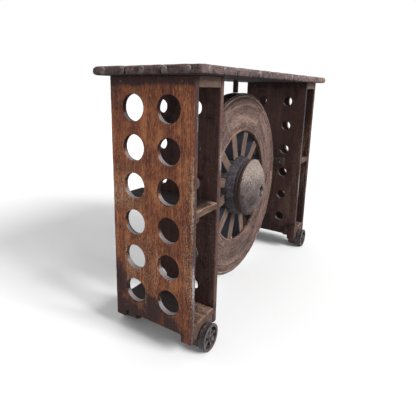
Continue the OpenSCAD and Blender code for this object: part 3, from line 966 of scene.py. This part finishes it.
def make_hub_cap(centre):
    """The domed front cap, split and rotten round the hole of its lost pin, with a soiled edge,
    painted shade on its lower left and a painted highlight on its top.
    """
    tip, foot = depths(CAP, centre)
    reach = radii(CAP, centre)[1]
    mesh = turned(resampled(cap_profile(tip, foot, reach), 3 * MM), centre, steps=240)
    rest = coordinates(mesh)
    weather(mesh, 160, steps=2, chips=1.0, dents=1.0)
    x = rest[:, X] - centre.x
    z = rest[:, Z] - centre.z
    r, angles = around(rest, centre)
    cracks = cap_cracks(r, angles)
    from_hole = np.hypot(x, (z + 14 * MM) * 0.75) + 7 * MM * noise(rest * 60, 8, 2)
    rotten = 1 - ramp(from_hole, 15 * MM, 27 * MM)
    on_dome = rest[:, Y] < centre.y + tip + 0.4 * (foot - tip)
    co = coordinates(mesh)
    co[:, Y] += (3.0 * cracks + 5.0 * rotten * (r > PIN_R * 0.9)) * MM * on_dome
    place(mesh, co)

    halo = ramp(r, 20 * MM, 26 * MM) * (1 - ramp(r, 30 * MM, 42 * MM))
    # Painted shade on the lower part and the lower left of the dome
    lower_shade = ramp(-z, -0.02, 0.1)
    shaded = ramp(-0.55 * x - 0.85 * z, -0.015, 0.105)
    from_lower_left_shade = np.hypot(x + 62 * MM, z + 48 * MM) + 9 * MM * noise(rest * 40, 12, 2)
    lower_left_shade = 1 - ramp(from_lower_left_shade, 18 * MM, 44 * MM)
    skirt = ramp(r + 6 * MM * noise(rest * 30, 13, 2), reach - 26 * MM, reach - 8 * MM)
    shade_and_stains = 0.12 * lower_shade + 0.4 * lower_left_shade + 0.4 * skirt + 0.38 * shaded
    paint(
        mesh, grain=grain_along(rest, Y, 5),
        # A worn ring round the pin hole, and a painted highlight on the upper part
        wear=0.4 * halo * (0.5 + noise(rest * 50, 9, 2)) + 0.6 * ramp(z, -0.02, 0.09),
        soil=0.95 * rotten + cracks + shade_and_stains,
    )
    piece(CAP, "turned", mesh, CAP_WOOD)


# ---------------------------------------------------------------- iron parts

def make_iron(node, cell, material, slot, body="frame", steps=3, chips=0.5, dents=0.4, inset=0.0):
    """A CAD node's own solid with softened, uneven edges, drawn in by inset."""
    mesh = skin(node, cell)
    seed = len(node) * 13 + len(slot)
    edge = weather(mesh, seed, steps, chips, dents, reach=0.8, spread=60)
    carve(mesh, inset)
    paint(mesh, wear=edge)
    piece(node, "forged", mesh, material, body)


def make_floor_wheels():
    """The small wheels turn on their axles, which are drawn in a little so that the two never touch."""
    for side, end in product(SIDES, ENDS):
        make_iron(f"{side}_{end}_roller", 1.5 * MM, ROLLER_IRON, "roller_iron", f"{side}_{end}_wheel")
        make_iron(f"{side}_{end}_axle", 1.2 * MM, SMALL_IRON, "axle_steel", inset=0.3 * MM)
    make_iron("axle_nuts", 0.9 * MM, SMALL_IRON, "axle_steel", chips=0.3)


def make_fastenings():
    for side in SIDES:
        make_iron(f"{side}_wheel_bracket", 1.8 * MM, SMALL_IRON, "bracket_iron")
    make_iron("bracket_bolts", 1.4 * MM, SMALL_IRON, "bracket_iron", chips=0.3)
    make_iron("cabinet_nails", 1.0 * MM, SMALL_IRON, "nail_iron", steps=1, chips=0.2, dents=0.1)


# ---------------------------------------------------------------- studio

def heading(azimuth, drop):
    """The way from +Y round towards +X by azimuth, and down from level by drop, both in degrees."""
    azimuth, drop = math.radians(azimuth), math.radians(drop)
    return Vector((
        math.sin(azimuth) * math.cos(drop), math.cos(azimuth) * math.cos(drop), -math.sin(drop)
    ))


def make_floor():
    bpy.ops.mesh.primitive_grid_add(x_subdivisions=8, y_subdivisions=8, size=40.0, location=(0, 0, 0))
    floor = bpy.context.object
    floor.name = "studio_floor"
    floor.data.materials.append(floor_material())


def make_lights():
    """White light from all round, and a broad lamp in front of the table, well above it."""
    world = bpy.data.worlds.new("studio")
    world.use_nodes = True
    world.node_tree.nodes["Background"].inputs["Color"].default_value = (1.0, 1.0, 1.0, 1.0)
    world.node_tree.nodes["Background"].inputs["Strength"].default_value = 1.0
    bpy.context.scene.world = world
    sun = bpy.data.lights.new("key", "SUN")
    sun.energy = 6.2
    sun.angle = math.radians(24)
    lamp = bpy.data.objects.new("key", sun)
    lamp.rotation_euler = heading(-2, 31).to_track_quat("-Z", "Y").to_euler()
    bpy.context.scene.collection.objects.link(lamp)


def make_camera():
    """At a standing person's eye, looking past the near cabinet along the table."""
    eye = Vector((-1.6437, -0.7907, 0.9691))
    azimuth = 56.237
    forward = heading(azimuth, 13.177)
    tilt = math.radians(0.748)
    level = Vector((math.cos(math.radians(azimuth)), -math.sin(math.radians(azimuth)), 0))
    up = level.cross(forward)
    right = level * math.cos(tilt) + up * math.sin(tilt)
    up = up * math.cos(tilt) - level * math.sin(tilt)
    data = bpy.data.cameras.new("camera")
    data.sensor_width = 36
    data.lens = 31.72
    data.shift_x = 0.0565
    data.shift_y = -0.082
    camera = bpy.data.objects.new("camera", data)
    matrix = Matrix((right, up, -forward)).transposed().to_4x4()
    matrix.translation = eye
    camera.matrix_world = matrix
    bpy.context.scene.collection.objects.link(camera)
    bpy.context.scene.camera = camera


tyre_low, tyre_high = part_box("iron_tyre")
wheel_centre = (tyre_low + tyre_high) / 2

make_camera()
make_lights()
make_floor()
make_top()
make_studs()
make_panels()
make_shelves()
make_beams()
make_hanger()
make_felloes(wheel_centre)
make_spokes(wheel_centre)
make_tyre(wheel_centre)
make_hub_barrel(wheel_centre)
make_hub_band(wheel_centre)
make_hub_cap(wheel_centre)
make_floor_wheels()
make_fastenings()

bpy.context.scene.view_settings.view_transform = "Standard"
